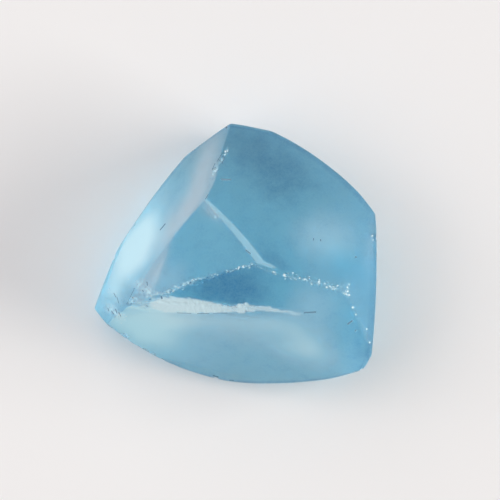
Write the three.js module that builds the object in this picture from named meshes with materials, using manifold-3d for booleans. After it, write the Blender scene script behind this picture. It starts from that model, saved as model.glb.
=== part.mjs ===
// A rough-ground topaz preform: one clear stone, ground to a rounded three-sided outline with one
// corner cut off square. Millimetres, +Z up, resting on its flat underside at z = 0.
import * as THREE from "three";
import { mergeVertices } from "three/addons/utils/BufferGeometryUtils.js";
import Module from "manifold-3d";

const wasm = await Module();
wasm.setup();
const { Manifold, Mesh } = wasm;

// The blank the faces are ground into.
const BLANK_LENGTH = 16;
const BLANK_WIDTH = 15;
const BLANK_HEIGHT = 8;

// Facets of a curved face stay within this distance of the true curve.
const CURVE_TOLERANCE = 0.003;
const LONGEST_FACET = 3;
const WHEEL_REACH = 12.5;
const WHEEL_THICKNESS = 20;

// Height at which the outline wall gives way to the undercut bevel.
const GIRDLE_LOW = 0.6;
const GIRDLE_HIGH = 1.0;
const WALL_ROUNDING = 30;
const BEVEL_ROUNDING = 60;

// Each ground face: where it touches (x, y, z), which way it looks (azimuth, and tilt from straight
// up, in degrees), and how far it is rounded across and down the slope (radii).
const CROWN_FACES = [
  { name: "north_east", at: [2.7, 2.4, 5.89], azimuth: 64, tilt: 26, across: 25, down: 17 },
  { name: "west_band", at: [-4, 1.5, 3.71], azimuth: 151, tilt: 62.5, across: 30, down: 29 },
  { name: "west_flat", at: [-2.3, 0, 5.99], azimuth: 176.5, tilt: 22, across: 500, down: 20 },
  { name: "south_shoulder", at: [1.7, -1.8, 6.51], azimuth: 259.5, tilt: 25, across: 29, down: 40 },
  { name: "south_slope", at: [-0.3, -4.5, 3.6], azimuth: 258, tilt: 52.5, across: 500, down: 29 },
  { name: "east_slope", at: [6.5, -1.8, 5.55], azimuth: 355, tilt: 48, across: 60, down: 18 },
  { name: "crest_bevel", at: [0.5, 0.5, 6.88], azimuth: 79.5, tilt: 14.5, across: 22, down: 40 },
  { name: "shoulder_bevel", at: [-2.3, -2.6, 5.31], azimuth: 257, tilt: 47, across: 400, down: 1000 },
  { name: "band_bevel", at: [-4, -0.9, 5.23], azimuth: 175, tilt: 29, across: 160, down: 1000 },
];

// The outline: near-upright walls, the tall ones on the east leaning in a little towards the base.
const WALL_FACES = [
  { name: "north_west_wall", at: [-4.5, 2.37, 1.2], azimuth: 144.5, tilt: 90, across: 36 },
  { name: "north_east_wall", at: [3.71, 5.02, 3.6], azimuth: 56, tilt: 96, across: 15 },
  { name: "east_wall", at: [7, 0.2, 4.4], azimuth: 0.5, tilt: 95, across: 50 },
  { name: "south_wall", at: [-0.68, -6.33, 1.2], azimuth: 258.5, tilt: 91, across: 12 },
  { name: "south_west_wall", at: [-5.82, -4.15, 1.2], azimuth: 228, tilt: 90, across: 7.8 },
  { name: "north_corner", at: [0.05, 6.87, 3.2], azimuth: 95.5, tilt: 93, across: 3.7 },
  { name: "south_east_corner", at: [7.12, -6.06, 2], azimuth: 317, tilt: 94, across: 3 },
  { name: "west_corner", at: [-7.62, -2.57, 1.2], azimuth: 193.5, tilt: 90, across: 2.75 },
  { name: "east_corner", at: [7.52, 2.5, 4.2], azimuth: 27, tilt: 95, across: 5 },
].map((face) => ({ down: WALL_ROUNDING, ...face }));

// The undercut bevels between the walls and the flat underside.
const UNDER_FACES = [
  { name: "north_west_under", at: [-4.5, 2.37, GIRDLE_LOW], azimuth: 144.5, tilt: 125, across: 44 },
  { name: "north_east_under", at: [3.45, 4.63, GIRDLE_HIGH], azimuth: 56, tilt: 130, across: 19 },
  { name: "east_under", at: [6.7, 0.2, GIRDLE_HIGH], azimuth: 0.5, tilt: 132, across: 66 },
  { name: "south_under", at: [-0.68, -6.33, GIRDLE_LOW], azimuth: 258.5, tilt: 125, across: 14.8 },
  { name: "south_west_under", at: [-5.82, -4.15, GIRDLE_LOW], azimuth: 228, tilt: 125, across: 9.5 },
  { name: "north_under", at: [0.04, 6.76, GIRDLE_HIGH], azimuth: 95.5, tilt: 130, across: 4.9 },
  { name: "west_under", at: [-7.62, -2.57, GIRDLE_LOW], azimuth: 193.5, tilt: 125, across: 3.35 },
  { name: "south_east_under", at: [7.05, -6, GIRDLE_HIGH], azimuth: 317, tilt: 130, across: 3.9 },
].map((face) => ({ down: BEVEL_ROUNDING, ...face }));

// Runs of edge chips: plan positions of the two ends, how many, their radii, and how far they stray.
const CHIP_RUNS = [
  { name: "north crest", from: [-0.5, 5.15], to: [-1.2, 3.9], count: 10, size: [0.1, 0.22], stray: 0.08 },
  { name: "north crest end", from: [-1.25, 3.6], to: [-1.5, 2.8], count: 3, size: [0.06, 0.12], stray: 0.05 },
  { name: "middle crest", from: [0.8, -0.5], to: [-4.2, -2.2], count: 24, size: [0.06, 0.12], stray: 0.06 },
  { name: "east crest", from: [2.4, -1], to: [5.5, -1.9], count: 22, size: [0.06, 0.13], stray: 0.12 },
  { name: "east slope crest", from: [5.65, -2.2], to: [6.6, -4.6], count: 6, size: [0.05, 0.1], stray: 0.05 },
  { name: "shoulder", from: [-4.2, -2.4], to: [1, -2.7], count: 16, size: [0.1, 0.24], stray: 0.08 },
  { name: "west point", from: [-5.3, -2.3], to: [-4.5, -2.7], count: 6, size: [0.1, 0.2], stray: 0.12 },
  { name: "west corner pits", from: [-6.5, -2.4], to: [-5.8, -3.1], count: 9, size: [0.06, 0.14], stray: 0.25 },
  { name: "crest bevel fork", from: [0.45, 0.35], to: [0.75, 0.05], count: 3, size: [0.08, 0.14], stray: 0.04 },
];

// Chips out of the lower rim: angle round the stone in degrees, radius of the chip.
const RIM_CHIPS = [
  { angle: 206, radius: 0.22 },
  { angle: 210, radius: 0.16 },
  { angle: 214, radius: 0.24 },
  { angle: 219, radius: 0.18 },
  { angle: 226, radius: 0.15 },
  { angle: 261, radius: 0.2 },
  { angle: 7, radius: 0.2 },
  { angle: 112, radius: 0.16 },
];
const CHIP_DEPTH_SHARE = 0.42;
const CHIP_STRETCH = 1.5;
const CHIP_ROUGHNESS = 0.22;
const RIM_CHIP_HEIGHT = 0.9;

// Repeatable numbers between 0 and 1.
let seed = 20417;
function random() {
  seed = (seed * 1103515245 + 12345) % 2147483648;
  return seed / 2147483648;
}

function between(low, high) {
  return low + (high - low) * random();
}

// Unit directions of a face: out of the face, across the slope, and along the slope.
function directions(face) {
  const azimuth = THREE.MathUtils.degToRad(face.azimuth);
  const tilt = THREE.MathUtils.degToRad(face.tilt);
  const out = new THREE.Vector3(
    Math.sin(tilt) * Math.cos(azimuth),
    Math.sin(tilt) * Math.sin(azimuth),
    Math.cos(tilt),
  );
  const across = new THREE.Vector3(-Math.sin(azimuth), Math.cos(azimuth), 0);
  const along = new THREE.Vector3().crossVectors(out, across);
  return { out, across, along };
}

// Height of a face above or below a plan position, on the branch nearest its touching point.
function heightOf(face, x, y) {
  const { out, across, along } = directions(face);
  const offset = new THREE.Vector3(x - face.at[0], y - face.at[1], 0);
  const sideways = offset.dot(across);
  const slopeways = offset.dot(along);
  const a = (along.z * along.z) / (2 * face.down);
  const b = out.z + (along.z * slopeways) / face.down;
  const c =
    offset.dot(out) +
    (sideways * sideways) / (2 * face.across) +
    (slopeways * slopeways) / (2 * face.down);
  const root = Math.sqrt(Math.max(b * b - 4 * a * c, 0));
  return face.at[2] - (2 * c) / (b + root);
}

// The crown at a plan position: its height, and the mean direction of the two lowest faces there.
function crownAt(x, y) {
  const ranked = CROWN_FACES.map((face) => ({ face, height: heightOf(face, x, y) }));
  ranked.sort((one, two) => one.height - two.height);
  const out = directions(ranked[0].face).out.add(directions(ranked[1].face).out).normalize();
  return { point: new THREE.Vector3(x, y, ranked[0].height), out };
}

// A three.js geometry as a manifold-3d solid.
function solidOf(geometry) {
  const bare = new THREE.BufferGeometry();
  bare.setAttribute("position", geometry.getAttribute("position"));
  if (geometry.index) bare.setIndex(geometry.index);
  const merged = mergeVertices(bare, 1e-5);
  return new Manifold(
    new Mesh({
      numProp: 3,
      vertProperties: new Float32Array(merged.getAttribute("position").array),
      triVerts: new Uint32Array(merged.index.array),
    }),
  );
}

// Positions from -WHEEL_REACH to WHEEL_REACH, spaced to follow a curve of the given radius.
function spacing(radius) {
  const step = Math.min(LONGEST_FACET, Math.sqrt(8 * radius * CURVE_TOLERANCE));
  const half = Math.ceil(WHEEL_REACH / step);
  return Array.from({ length: 2 * half + 1 }, (_, i) => ((i - half) * WHEEL_REACH) / half);
}

// The grinding wheel that leaves one face: a slab whose underside is hollowed by the face's radii.
function wheel(face) {
  const { out, across, along } = directions(face);
  const touch = new THREE.Vector3(...face.at);
  const columns = spacing(face.across);
  const rows = spacing(face.down);
  const positions = [];
  const place = (u, v, w) => {
    const point = touch.clone().addScaledVector(across, u).addScaledVector(along, v);
    positions.push(...point.addScaledVector(out, w).toArray());
  };
  for (const v of rows) {
    for (const u of columns) place(u, v, -(u * u) / (2 * face.across) - (v * v) / (2 * face.down));
  }
  for (const v of rows) {
    for (const u of columns) place(u, v, WHEEL_THICKNESS);
  }
  const wide = columns.length;
  const layer = wide * rows.length;
  const index = [];
  const quad = (a, b, c, d) => index.push(a, b, c, a, c, d);
  for (let j = 0; j + 1 < rows.length; j += 1) {
    for (let i = 0; i + 1 < wide; i += 1) {
      const corner = j * wide + i;
      quad(corner, corner + wide, corner + wide + 1, corner + 1);
      quad(layer + corner, layer + corner + 1, layer + corner + wide + 1, layer + corner + wide);
    }
  }
  for (let i = 0; i + 1 < wide; i += 1) {
    const last = layer - wide + i;
    quad(i, i + 1, layer + i + 1, layer + i);
    quad(last + 1, last, layer + last, layer + last + 1);
  }
  for (let j = 0; j + 1 < rows.length; j += 1) {
    const left = j * wide;
    const right = left + wide - 1;
    quad(left + wide, left, layer + left, layer + left + wide);
    quad(right, right + wide, layer + right + wide, layer + right);
  }
  const geometry = new THREE.BufferGeometry();
  geometry.setAttribute("position", new THREE.BufferAttribute(new Float32Array(positions), 3));
  geometry.setIndex(index);
  return solidOf(geometry);
}

// A low-sided lump, longer along its run, that scoops one chip out of the stone.
function scoop(point, out, run, radius) {
  const lump = mergeVertices(
    new THREE.BufferGeometry().setAttribute(
      "position",
      new THREE.IcosahedronGeometry(1, 1).getAttribute("position"),
    ),
    1e-4,
  );
  const corners = lump.getAttribute("position");
  for (let i = 0; i < corners.count; i += 1) {
    const swell = 1 + CHIP_ROUGHNESS * (random() - 0.5);
    corners.setXYZ(i, corners.getX(i) * swell, corners.getY(i) * swell, corners.getZ(i) * swell);
  }
  const side = new THREE.Vector3().crossVectors(out, run).normalize();
  const forward = new THREE.Vector3().crossVectors(side, out);
  const centre = point.clone().addScaledVector(out, radius * (1 - CHIP_DEPTH_SHARE));
  const spin = new THREE.Matrix4().makeRotationZ(between(0, Math.PI));
  const stretch = new THREE.Matrix4().makeScale(radius * CHIP_STRETCH, radius, radius);
  const frame = new THREE.Matrix4().makeBasis(forward, side, out).setPosition(centre);
  return solidOf(lump.applyMatrix4(frame.multiply(stretch).multiply(spin)));
}

// The scoops of one run of chips along a crest.
function chipRun(run) {
  const direction = new THREE.Vector3(run.to[0] - run.from[0], run.to[1] - run.from[1], 0).normalize();
  return Array.from({ length: run.count }, (_, i) => {
    const share = (i + between(0.2, 0.8)) / run.count;
    const x = THREE.MathUtils.lerp(run.from[0], run.to[0], share) + between(-run.stray, run.stray);
    const y = THREE.MathUtils.lerp(run.from[1], run.to[1], share) + between(-run.stray, run.stray);
    const crown = crownAt(x, y);
    return scoop(crown.point, crown.out, direction, between(...run.size));
  });
}

// Distance from the upright axis to the outline wall in one direction.
function rimDistance(bearing) {
  const reach = WALL_FACES.map((face) => {
    const { out, across } = directions(face);
    const run = out.x * bearing.x + out.y * bearing.y;
    const side = across.x * bearing.x + across.y * bearing.y;
    const start = -(out.x * face.at[0] + out.y * face.at[1]);
    const shift = -(across.x * face.at[0] + across.y * face.at[1]);
    const a = (side * side) / (2 * face.across);
    const b = run + (side * shift) / face.across;
    const c = start + (shift * shift) / (2 * face.across);
    const distance = (2 * c) / (-b - Math.sqrt(Math.max(b * b - 4 * a * c, 0)));
    return distance > 0 ? distance : Infinity;
  });
  return Math.min(...reach);
}

// One chip out of the rim, at the height of the girdle.
function rimChip({ angle, radius }) {
  const turn = THREE.MathUtils.degToRad(angle);
  const bearing = new THREE.Vector3(Math.cos(turn), Math.sin(turn), 0);
  const point = bearing.clone().multiplyScalar(rimDistance(bearing)).setZ(RIM_CHIP_HEIGHT);
  const tangent = new THREE.Vector3(-bearing.y, bearing.x, 0);
  return scoop(point, bearing, tangent, radius);
}

const blank = new THREE.BoxGeometry(BLANK_LENGTH, BLANK_WIDTH, BLANK_HEIGHT);
blank.translate(0, 0, BLANK_HEIGHT / 2);
const grinding = [...CROWN_FACES, ...WALL_FACES, ...UNDER_FACES].map(wheel);
const chipping = [...CHIP_RUNS.flatMap(chipRun), ...RIM_CHIPS.map(rimChip)];
const ground = grinding.reduce((stone, cut) => stone.subtract(cut), solidOf(blank));
const stone = chipping.reduce((worn, cut) => worn.subtract(cut), ground);

// The finished solid as a three.js mesh.
const made = stone.getMesh();
const surface = new THREE.BufferGeometry();
surface.setAttribute("position", new THREE.BufferAttribute(made.vertProperties, 3));
surface.setIndex(new THREE.BufferAttribute(made.triVerts, 1));
surface.computeVertexNormals();
const topaz = new THREE.Mesh(
  surface,
  new THREE.MeshStandardMaterial({
    color: 0x7cb4cf,
    roughness: 0.45,
    metalness: 0,
    transparent: true,
    opacity: 0.6,
    flatShading: true,
  }),
);
topaz.name = "topaz";

const group = new THREE.Group();
group.add(topaz);
export default group;
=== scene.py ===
"""A rough-ground blue topaz preform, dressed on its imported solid.

The stone is one clear piece. Its surface is worked out as the inside of a set of gently rounded ground
faces, worn round at the ridges and chipped along them, on a grid that closes on itself.
"""

import bpy
import numpy as np
from bpy.props import FloatProperty, FloatVectorProperty, IntProperty, PointerProperty
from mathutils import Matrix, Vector


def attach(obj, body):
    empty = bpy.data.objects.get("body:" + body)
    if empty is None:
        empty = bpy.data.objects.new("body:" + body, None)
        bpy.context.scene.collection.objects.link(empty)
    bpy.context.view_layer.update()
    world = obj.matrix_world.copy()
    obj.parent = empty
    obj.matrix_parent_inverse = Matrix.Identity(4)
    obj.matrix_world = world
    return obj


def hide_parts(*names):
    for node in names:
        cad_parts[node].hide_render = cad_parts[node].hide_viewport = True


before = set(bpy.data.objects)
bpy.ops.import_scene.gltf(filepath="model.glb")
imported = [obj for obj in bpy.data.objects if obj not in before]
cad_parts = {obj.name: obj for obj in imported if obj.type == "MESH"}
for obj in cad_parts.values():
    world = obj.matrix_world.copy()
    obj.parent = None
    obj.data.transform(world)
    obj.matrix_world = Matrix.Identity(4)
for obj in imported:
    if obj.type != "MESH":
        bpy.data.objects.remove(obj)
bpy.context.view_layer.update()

bl_info = {
    "name": "Ground topaz preform",
    "version": (1, 0, 0),
    "blender": (4, 5, 0),
    "location": "View3D > Sidebar > Topaz",
    "description": "Builds a frosted blue topaz preform and its plain stage",
    "category": "Object",
}

CAD_NODE = "topaz"
MM = 0.001

# Each ground face: touching point x, y, z (mm), azimuth and tilt of the way it looks (degrees), and its
# rounding radii across and down the slope (mm).
CROWN = {
    "north_east": (2.7, 2.4, 5.89, 64, 26, 25, 17),
    "west_band": (-4, 1.5, 3.71, 151, 62.5, 30, 29),
    "west_flat": (-2.3, 0, 5.99, 176.5, 22, 500, 20),
    "south_shoulder": (1.7, -1.8, 6.51, 259.5, 25, 29, 40),
    "south_slope": (-0.3, -4.5, 3.6, 258, 52.5, 500, 29),
    "east_slope": (6.5, -1.8, 5.55, 355, 48, 60, 18),
    "shoulder_bevel": (-2.3, -2.6, 5.31, 257, 47, 400, 1000),
    "band_bevel": (-4, -0.9, 5.23, 175, 29, 160, 1000),
}
# Rounding radius of every wall down its height (mm).
WALL_ROUNDING = 30
WALLS = {
    "north_west_wall": (-4.5, 2.37, 1.2, 144.5, 90, 36, WALL_ROUNDING),
    "north_east_wall": (3.71, 5.02, 3.6, 56, 96, 15, WALL_ROUNDING),
    "east_wall": (7, 0.2, 4.4, 0.5, 95, 50, WALL_ROUNDING),
    "south_wall": (-0.68, -6.33, 1.2, 258.5, 91, 12, WALL_ROUNDING),
    "south_west_wall": (-5.82, -4.15, 1.2, 228, 90, 7.8, WALL_ROUNDING),
    "north_corner": (0.05, 6.87, 3.2, 95.5, 93, 3.7, WALL_ROUNDING),
    "south_east_corner": (7.12, -6.06, 2, 317, 94, 3, WALL_ROUNDING),
    "west_corner": (-7.62, -2.57, 1.2, 193.5, 90, 2.75, WALL_ROUNDING),
    "east_corner": (7.52, 2.5, 4.2, 27, 95, 5, WALL_ROUNDING),
}
# Heights of the touching points of the undercut bevels, and their rounding radius down the slope (mm).
GIRDLE_LOW = 0.6
GIRDLE_HIGH = 1.0
BEVEL_ROUNDING = 60
UNDERSIDE = {
    "north_west_under": (-4.5, 2.37, GIRDLE_LOW, 144.5, 125, 44, BEVEL_ROUNDING),
    "north_east_under": (3.45, 4.63, GIRDLE_HIGH, 56, 130, 19, BEVEL_ROUNDING),
    "east_under": (6.7, 0.2, GIRDLE_HIGH, 0.5, 132, 66, BEVEL_ROUNDING),
    "south_under": (-0.68, -6.33, GIRDLE_LOW, 258.5, 125, 14.8, BEVEL_ROUNDING),
    "south_west_under": (-5.82, -4.15, GIRDLE_LOW, 228, 125, 9.5, BEVEL_ROUNDING),
    "north_under": (0.04, 6.76, GIRDLE_HIGH, 95.5, 130, 4.9, BEVEL_ROUNDING),
    "west_under": (-7.62, -2.57, GIRDLE_LOW, 193.5, 125, 3.35, BEVEL_ROUNDING),
    "south_east_under": (7.05, -6, GIRDLE_HIGH, 317, 130, 3.9, BEVEL_ROUNDING),
    "base": (0, 0, 0, 0, 180, 1e5, 1e5),
}
FACES = {**CROWN, **WALLS, **UNDERSIDE}
# Ridges ground soft: the two faces, and how far the ridge is rubbed round at a plan x and at another (mm).
SOFT_RIDGES = (
    ("north_east", "east_slope", 5, 0.1, 6, 0.3),
    ("south_shoulder", "south_slope", 2.4, 0.01, 5.5, 0.35),
    ("south_shoulder", "east_slope", 3.5, 0.005, 5.2, 0.12),
)
# The narrow bevel along the crest: the two faces it lies between, and its depth at some plan x (mm).
RIBBONS = (
    ("north_east", "west_flat", (-1.5, -0.8, 0.6, 2.2), (0.014, 0.026, 0.034, 0.034)),
    ("north_east", "south_shoulder", (0.5, 0.9, 1.8, 2.3), (-0.02, 0.034, 0.032, -0.03)),
)
# Places where a face is ground a little hollow, which shifts its ridges: plan place, radius and depth (mm).
HOLLOWS = {
    "west_band": (-0.95, 3.65, 0.75, 0.14),
}

# Middle of the stone, from which every point of its surface can be seen (mm).
MIDDLE = np.array([0.0, 0.0, 2.5])
# A number next to nothing, which keeps a division finite.
NEXT_TO_NOTHING = 1e-9
# Rings of the grid under the stone, as shares of its outline, from the rim inwards.
BASE_RINGS = (0.98, 0.95, 0.92, 0.88, 0.6, 0.3)
# How many times the other's its thinner wedge has to be for a diagonal to be taken whichever stands out.
WEDGE_RATIO = 2
# Height above which the surface takes the masks of the crown (mm).
CROWN_FOOT = 1.5
# Distance over which the masks of one facet fade into those of the next (mm).
FACET_BLEND = 0.01
# Waves of the surface: their usual length (mm) and the draw that they come from.
SWELL_WAVES = (2.6, 3)
CRUSH_WAVES = (0.16, 5)
LENS_EDGE_WAVES = (0.3, 9)
# Least and greatest length of a wave, as shares of the usual one.
WAVE_SPREAD = (0.6, 1.6)

# Runs of chips along the crests: ends in plan (mm), how many, and least and greatest radius and stray (mm).
CHIP_RUNS = {
    "north_crest": (-0.5, 5.15, -1.2, 3.9, 16, 0.07, 0.2, 0.09),
    "north_crest_end": (-1.25, 3.6, -1.5, 2.8, 6, 0.05, 0.12, 0.05),
    "middle_crest": (0.8, -0.5, -4.2, -2.2, 34, 0.05, 0.12, 0.07),
    "east_crest": (2.4, -1, 5.5, -1.9, 34, 0.05, 0.13, 0.14),
    "east_slope_crest": (5.65, -2.2, 6.6, -4.6, 8, 0.05, 0.09, 0.05),
    "shoulder": (-4.2, -2.4, 1, -2.7, 26, 0.08, 0.22, 0.09),
    "west_point": (-5.3, -2.3, -4.5, -2.7, 14, 0.08, 0.2, 0.16),
    "west_corner_pits": (-6.5, -2.4, -5.8, -3.1, 16, 0.05, 0.13, 0.27),
    "ribbon": (0.45, 0.35, 0.75, 0.05, 4, 0.06, 0.12, 0.05),
}
# Single nicks, cut as chips, each with a painted glint in its middle: plan place and radius (mm).
NICKS = (
    (-0.5, 5.1, 0.08), (0.18, -0.65, 0.07), (0.38, -0.63, 0.08), (0.7, -0.68, 0.06), (1.88, -0.88, 0.06),
    (2.43, -1.05, 0.11), (3.18, -1.2, 0.06), (3.43, -1.25, 0.07), (3.78, -1.5, 0.06), (4.13, -1.38, 0.07),
    (4.53, -1.65, 0.08), (4.68, -1.6, 0.06), (5.55, -1.65, 0.06), (5.58, -1.85, 0.07), (5.5, -1.98, 0.06),
    (5.65, -2.03, 0.07), (5.83, -2.65, 0.08), (5.98, -3, 0.06), (6.53, -3.73, 0.06), (6.68, -4.4, 0.07),
    (6.8, 0.9, 0.06), (6.84, 0.7, 0.05), (-5.1, -2.18, 0.08), (-4.2, -2.1, 0.06), (-3.1, -1.85, 0.06),
)
# Chips down the rim: angle round the stone (degrees) and radius (mm).
RIM_CHIPS = (
    (200, 0.12), (204, 0.14), (207, 0.18), (209, 0.14), (211, 0.24), (213, 0.32), (215, 0.2), (217, 0.26),
    (219, 0.3), (221, 0.2), (224, 0.22), (227, 0.24), (231, 0.16), (235, 0.2), (241, 0.15), (247, 0.17),
    (258, 0.12), (261, 0.17), (264, 0.1), (3, 0.15), (7, 0.28), (9, 0.2), (40, 0.14), (52, 0.16), (75, 0.14),
    (112, 0.2), (126, 0.14), (140, 0.15), (163, 0.17), (181, 0.2), (188, 0.22), (300, 0.15), (318, 0.22),
)
# Level of the rim chips as a share of the rim's height, and their height as a multiple of their radius.
RIM_CHIP_LEVEL = 0.78
RIM_CHIP_RISE = 3.5
# Depth and length of a chip as multiples of its radius, and how far its direction is thrown off at random.
CHIP_DEPTH = 0.4
CHIP_LENGTH = 1.5
CHIP_TILT = 0.25
# Power that makes small chips outnumber large ones along a run.
CHIP_SIZE_POWER = 1.6
# Least and greatest share at random of a chip's step along its run, of its length and of its height.
CHIP_STEP_SPREAD = (0.2, 0.8)
CHIP_LENGTH_SPREAD = (0.7, 1.1)
CHIP_HEIGHT_SPREAD = (0.8, 1.1)

# Crushed streaks: ends in plan, half width at each end (mm) and strength.
CRUSHED = {
    "north_crest": (-0.35, 5.3, -1.1, 4, 0.1, 0.3, 0.58),
    "north_crest_end": (-1, 3.9, -1.6, 2.7, 0.1, 0.07, 0.45),
    "north_spot": (-1.2, 2.2, -0.9, 1.7, 0.25, 0.25, 0.5),
    "middle_crest": (0.8, -0.55, -2.2, -1.35, 0.11, 0.26, 0.58),
    "middle_crest_west": (-2.1, -1.35, -3.6, -2, 0.28, 0.34, 0.7),
    "east_crest": (2.6, -1.1, 3.8, -1.35, 0.25, 0.35, 0.57),
    "east_crest_end": (3.8, -1.35, 5.6, -1.9, 0.3, 0.4, 0.57),
    "east_turn": (5.6, -1.5, 5.6, -2.2, 0.25, 0.15, 0.6),
    "east_slope_crest": (5.75, -2.4, 6.7, -4.6, 0.12, 0.1, 0.5),
    "ribbon_foot": (0.7, -0.45, 2.2, -1.05, 0.14, 0.12, 0.6),
    "west_point": (-5.2, -2.3, -4.3, -2.6, 0.4, 0.35, 0.7),
    "west_grey": (-4.9, -1.5, -4, -2.1, 0.6, 0.55, 0.62),
    "west_corner": (-6.2, -1.8, -5.7, -2.4, 0.45, 0.4, 0.56),
    "west_pits": (-6.3, -2.7, -5.7, -3.2, 0.4, 0.4, 0.7),
}
# The crushed lens under the shoulder: its upper and lower edge and its strength over plan x (mm).
LENS_X = (-4.3, -4.1, -3.7, -3.1, -2.3, -1.6, -0.8, -0.25, 0.05, 0.2, 0.6, 0.9, 1.2, 2.2, 3.3)
LENS_TOP = (
    -2.45, -2.38, -2.2, -2.14, -2.2, -2.34, -2.54, -2.64, -2.58, -2.47, -2.47, -2.6, -2.56, -2.76, -2.98,
)
LENS_FOOT = (
    -2.5, -2.74, -2.86, -2.9, -2.93, -2.93, -2.91, -2.88, -2.86, -2.85, -2.85, -2.84, -2.83, -2.9, -3.08,
)
LENS_STRENGTH = (0.5, 0.9, 1, 1, 1, 1, 1, 0.9, 0.8, 1, 0.95, 0.8, 0.75, 0.65, 0.2)
# How ragged its edges are, over what width they fade (mm), and how strong it is on the edge itself.
LENS_RAGGED = 0.03
LENS_FADE = 0.05
LENS_EDGE = 0.7
# Depth of the crushed grain on the lens, as a share of that on a crushed streak.
LENS_GRAIN = 0.6

# Painted light and shade on a facet: above 0 a painted glow, laid on as paler, milkier and rougher skin, and
# below 0 painted shade, laid on as a deeper tint: facet, plan place, reach along and across (mm), turn
# (degrees) and strength.
LIGHT_AND_SHADE_ZONES = {
    "band_glow": ("west_band", -4.9, 0.4, 2.6, 1.1, 60, 1),
    "band_foot": ("west_band", -6.2, -2, 1.2, 0.7, 70, 0.25),
    "slope_west": ("south_slope", -4.9, -3.8, 3.8, 1.8, -20, 0.93),
    "slope_upper": ("south_slope", -1.2, -3.3, 4, 0.6, -3, 0.5),
    "slope_east": ("south_slope", 2.4, -4, 3, 1.4, -12, 0.5),
    "slope_low": ("south_slope", 4.2, -5.1, 2, 0.9, -15, 0.5),
    "slope_corner": ("south_slope", 5.9, -4.9, 1.5, 0.9, 70, -0.5),
    "east_glow": ("north_east", 4.2, 0.9, 2.6, 1.6, -25, 0.5),
    "north_glow": ("north_east", 3.8, 2.6, 1.2, 0.7, -45, 0.2),
    "north": ("north_east", 2, 4.1, 2.6, 1.2, -40, -0.9),
    "crest": ("north_east", 1.8, -0.2, 1.5, 0.7, -48, -0.5),
    "north_middle": ("north_east", 2.1, 1.5, 1.6, 0.8, -45, -0.16),
    "east_rim": ("north_east", 6.8, 0.6, 1.6, 0.5, 90, -0.4),
    "flat_west": ("west_flat", -3.2, -1.2, 1.4, 0.9, 50, 0.46),
    "flat_apex": ("west_flat", -0.4, -0.3, 1.5, 0.9, 30, -0.1),
    "apex": ("south_shoulder", -0.3, -1.7, 2.1, 1.1, -5, -1.8),
    "shoulder_east": ("south_shoulder", 3.4, -2.1, 2.3, 1, -10, 0.42),
}
# Greyish chalky zones, laid out in the same way: the greyish frost of a crushed spot at the crest head, and
# painted sheen and light on the west band, its bevel and the south slope.
CHALK_AND_SHEEN_ZONES = {
    "crest_head": ("west_flat", -1.15, 2.2, 0.6, 0.35, -45, 0.25),
    "band_upper": ("west_band", -1.6, 4.2, 1.9, 0.5, 70, 0.4),
    "band_inner": ("west_band", -2.6, 1.9, 2, 0.5, 52, 0.4),
    "band_bevel": ("band_bevel", -3.9, -0.8, 1.8, 0.5, 55, 0.3),
    "slope_upper": ("south_slope", -1.4, -3.2, 3, 0.5, -3, 0.08),
    "slope_middle": ("south_slope", -0.6, -4, 2.4, 0.9, 0, 0.08),
}
# Zones of painted colour that hold back the red, laid out in the same way: the bluer colour of light that
# ran further through the stone at the east, and the tint of the painted glow on the west slope.
BLUER = {
    "east": ("north_east", 5.6, -0.6, 1.5, 1, -20, 0.9),
    "east_slope": ("east_slope", 6.4, -2.2, 1.7, 0.9, 90, 0.55),
    "slope_west": ("south_slope", -4.9, -3.8, 3.6, 1.7, -20, 0.5),
}
# Painted shade as a darker line along the edge of the crown: the width it fades over (mm), how many such
# widths it reaches in from the rim, and its strength at angles round the stone (degrees).
RIM_LINE_WIDTH = 0.11
RIM_LINE_REACH = 1.3
RIM_LINE_ANGLES = (-180, -165, -150, -120, -60, 0, 40, 75, 95, 120, 140, 155, 180)
RIM_LINE_STRENGTHS = (0, 0.1, 0.3, 0.45, 0.55, 0.3, 0.25, 0.3, 0.55, 0.5, 0.3, 0, 0)
# Facets lifted all over by painted light, laid on as paler, milkier and rougher skin, and how much.
PAINTED_GLOW_FACETS = {"west_band": 0.15, "ribbon": 0.6, "band_bevel": 0.3, "shoulder_bevel": 0.4}

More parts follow.
